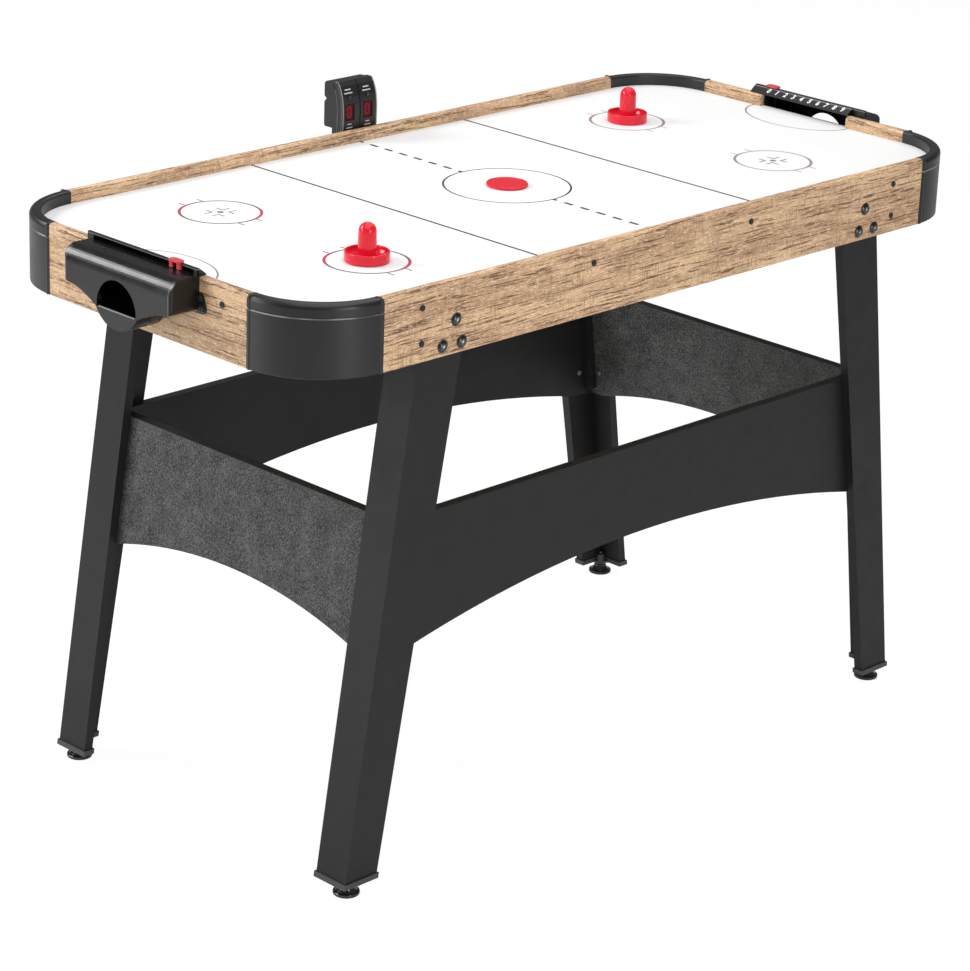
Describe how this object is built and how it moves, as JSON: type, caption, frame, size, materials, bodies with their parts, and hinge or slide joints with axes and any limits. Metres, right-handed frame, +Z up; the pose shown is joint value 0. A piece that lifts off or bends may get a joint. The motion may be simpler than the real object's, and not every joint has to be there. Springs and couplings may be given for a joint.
{
  "type": "air hockey table",
  "caption": "Free-standing air hockey table with wood-grain aprons, goal boxes with sliding score markers, an electronic scorer, splayed legs, a puck and pushers.",
  "frame": {"origin": "on the floor, at the middle of the table's length and width", "axes": "+X along the table, +Y towards the long side that carries the scorer, +Z up"},
  "size_m": [1.472, 0.7116, 0.9415],
  "materials": {
    "wood_laminate": "satin oak-grain laminate on board",
    "cap_plastic": "black satin moulding",
    "playfield_board": "white coated board with red and grey markings",
    "bare_board": "raw fibreboard",
    "blower_plastic": "black moulding",
    "motor_metal": "brushed can",
    "black_plastic": "black moulding",
    "black_board": "black finely speckled laminate on board",
    "shoe_plastic": "dark grey moulding",
    "leveller_plastic": "glossy black moulding",
    "black_steel": "black oxide",
    "zinc_steel": "zinc plated",
    "goal_plastic": "black satin moulding, white numbers",
    "marker_plastic": "red moulding",
    "scorer_plastic": "black satin moulding",
    "lens_plastic": "dark red tinted window",
    "circuit_board": "green board",
    "red_plastic": "glossy red moulding"
  },
  "bodies": {
    "table": {"long_apron_front": "wood_laminate", "long_apron_back": "wood_laminate", "end_apron_left": "wood_laminate", "end_apron_right": "wood_laminate", "corner_cap_front_left": "cap_plastic", "corner_cap_front_right": "cap_plastic", "corner_cap_back_left": "cap_plastic", "corner_cap_back_right": "cap_plastic", "playfield": "playfield_board", "support_strips": "bare_board", "air_chamber_walls": "bare_board", "air_chamber_floor": "bare_board", "blower_housing": "blower_plastic", "blower_grille": "blower_plastic", "blower_motor": "motor_metal", "power_inlet": "black_plastic", "leg_side_front_left": "black_board", "leg_side_front_right": "black_board", "leg_side_back_left": "black_board", "leg_side_back_right": "black_board", "leg_end_front_left": "black_board", "leg_end_front_right": "black_board", "leg_end_back_left": "black_board", "leg_end_back_right": "black_board", "long_panel_front": "black_board", "long_panel_back": "black_board", "end_panel_left": "black_board", "end_panel_right": "black_board", "leg_brackets": "black_board", "foot_shoe_front_left": "shoe_plastic", "foot_shoe_front_right": "shoe_plastic", "foot_shoe_back_left": "shoe_plastic", "foot_shoe_back_right": "shoe_plastic", "leg_bolts": "black_steel", "apron_screws": "black_steel", "panel_screws": "zinc_steel", "goal_box_left": "goal_plastic", "goal_box_right": "goal_plastic", "score_hood_left": "goal_plastic", "score_hood_right": "goal_plastic", "goal_screws": "black_steel", "scorer_front_shell": "scorer_plastic", "scorer_back_shell": "scorer_plastic", "scorer_lenses": "lens_plastic", "scorer_board": "circuit_board", "scorer_bracket": "zinc_steel"},
    "blower_impeller": {"blower_impeller": "black_plastic"},
    "power_switch": {"power_switch": "black_plastic"},
    "leveller_front_left": {"leveller_front_left": "leveller_plastic"},
    "leveller_front_right": {"leveller_front_right": "leveller_plastic"},
    "leveller_back_left": {"leveller_back_left": "leveller_plastic"},
    "leveller_back_right": {"leveller_back_right": "leveller_plastic"},
    "score_marker_left": {"score_marker_left": "marker_plastic"},
    "score_marker_right": {"score_marker_right": "marker_plastic"},
    "scorer_button_left": {"scorer_button_left": "black_plastic"},
    "scorer_button_right": {"scorer_button_right": "black_plastic"},
    "puck": {"puck": "red_plastic"},
    "pusher_left": {"pusher_left": "red_plastic"},
    "pusher_right": {"pusher_right": "red_plastic"}
  },
  "joints": [
    {"name": "score_marker_left_slide", "type": "slide", "parent": "table", "child": "score_marker_left", "axis": [0, 1, 0], "range_m": [-0.0085, 0.1445]},
    {"name": "score_marker_right_slide", "type": "slide", "parent": "table", "child": "score_marker_right", "axis": [0, -1, 0], "range_m": [0, 0.153]},
    {"name": "leveller_front_left_turn", "type": "hinge", "parent": "table", "child": "leveller_front_left", "pos_m": [-0.57085, -0.2945, 0.03], "axis": [0, 0, 1], "continuous": true},
    {"name": "leveller_back_left_turn", "type": "hinge", "parent": "table", "child": "leveller_back_left", "pos_m": [-0.57085, 0.2945, 0.03], "axis": [0, 0, 1], "continuous": true},
    {"name": "leveller_front_right_turn", "type": "hinge", "parent": "table", "child": "leveller_front_right", "pos_m": [0.57085, -0.2945, 0.03], "axis": [0, 0, 1], "continuous": true},
    {"name": "leveller_back_right_turn", "type": "hinge", "parent": "table", "child": "leveller_back_right", "pos_m": [0.57085, 0.2945, 0.03], "axis": [0, 0, 1], "continuous": true},
    {"name": "scorer_button_left_press", "type": "slide", "parent": "table", "child": "scorer_button_left", "axis": [0, 1, 0], "range_m": [0, 0.001], "stiffness_N_per_m": 300, "springref_m": -0.0005},
    {"name": "scorer_button_right_press", "type": "slide", "parent": "table", "child": "scorer_button_right", "axis": [0, 1, 0], "range_m": [0, 0.001], "stiffness_N_per_m": 300, "springref_m": -0.0005},
    {"name": "blower_impeller_spin", "type": "hinge", "parent": "table", "child": "blower_impeller", "pos_m": [0, 0, 0.8], "axis": [0, 0, 1], "continuous": true},
    {"name": "power_switch_rock", "type": "hinge", "parent": "table", "child": "power_switch", "pos_m": [0, -0.075, 0.7905], "axis": [1, 0, 0], "range_deg": [-16, 0]},
    {"name": "puck_glide", "type": "slide", "parent": "table", "child": "puck", "axis": [1, 0, 0], "range_m": [-0.6, 0.6]},
    {"name": "pusher_left_push", "type": "slide", "parent": "table", "child": "pusher_left", "axis": [1, 0, 0], "range_m": [-0.21, 0.385]},
    {"name": "pusher_right_push", "type": "slide", "parent": "table", "child": "pusher_right", "axis": [1, 0, 0], "range_m": [-0.385, 0.21]}
  ]
}
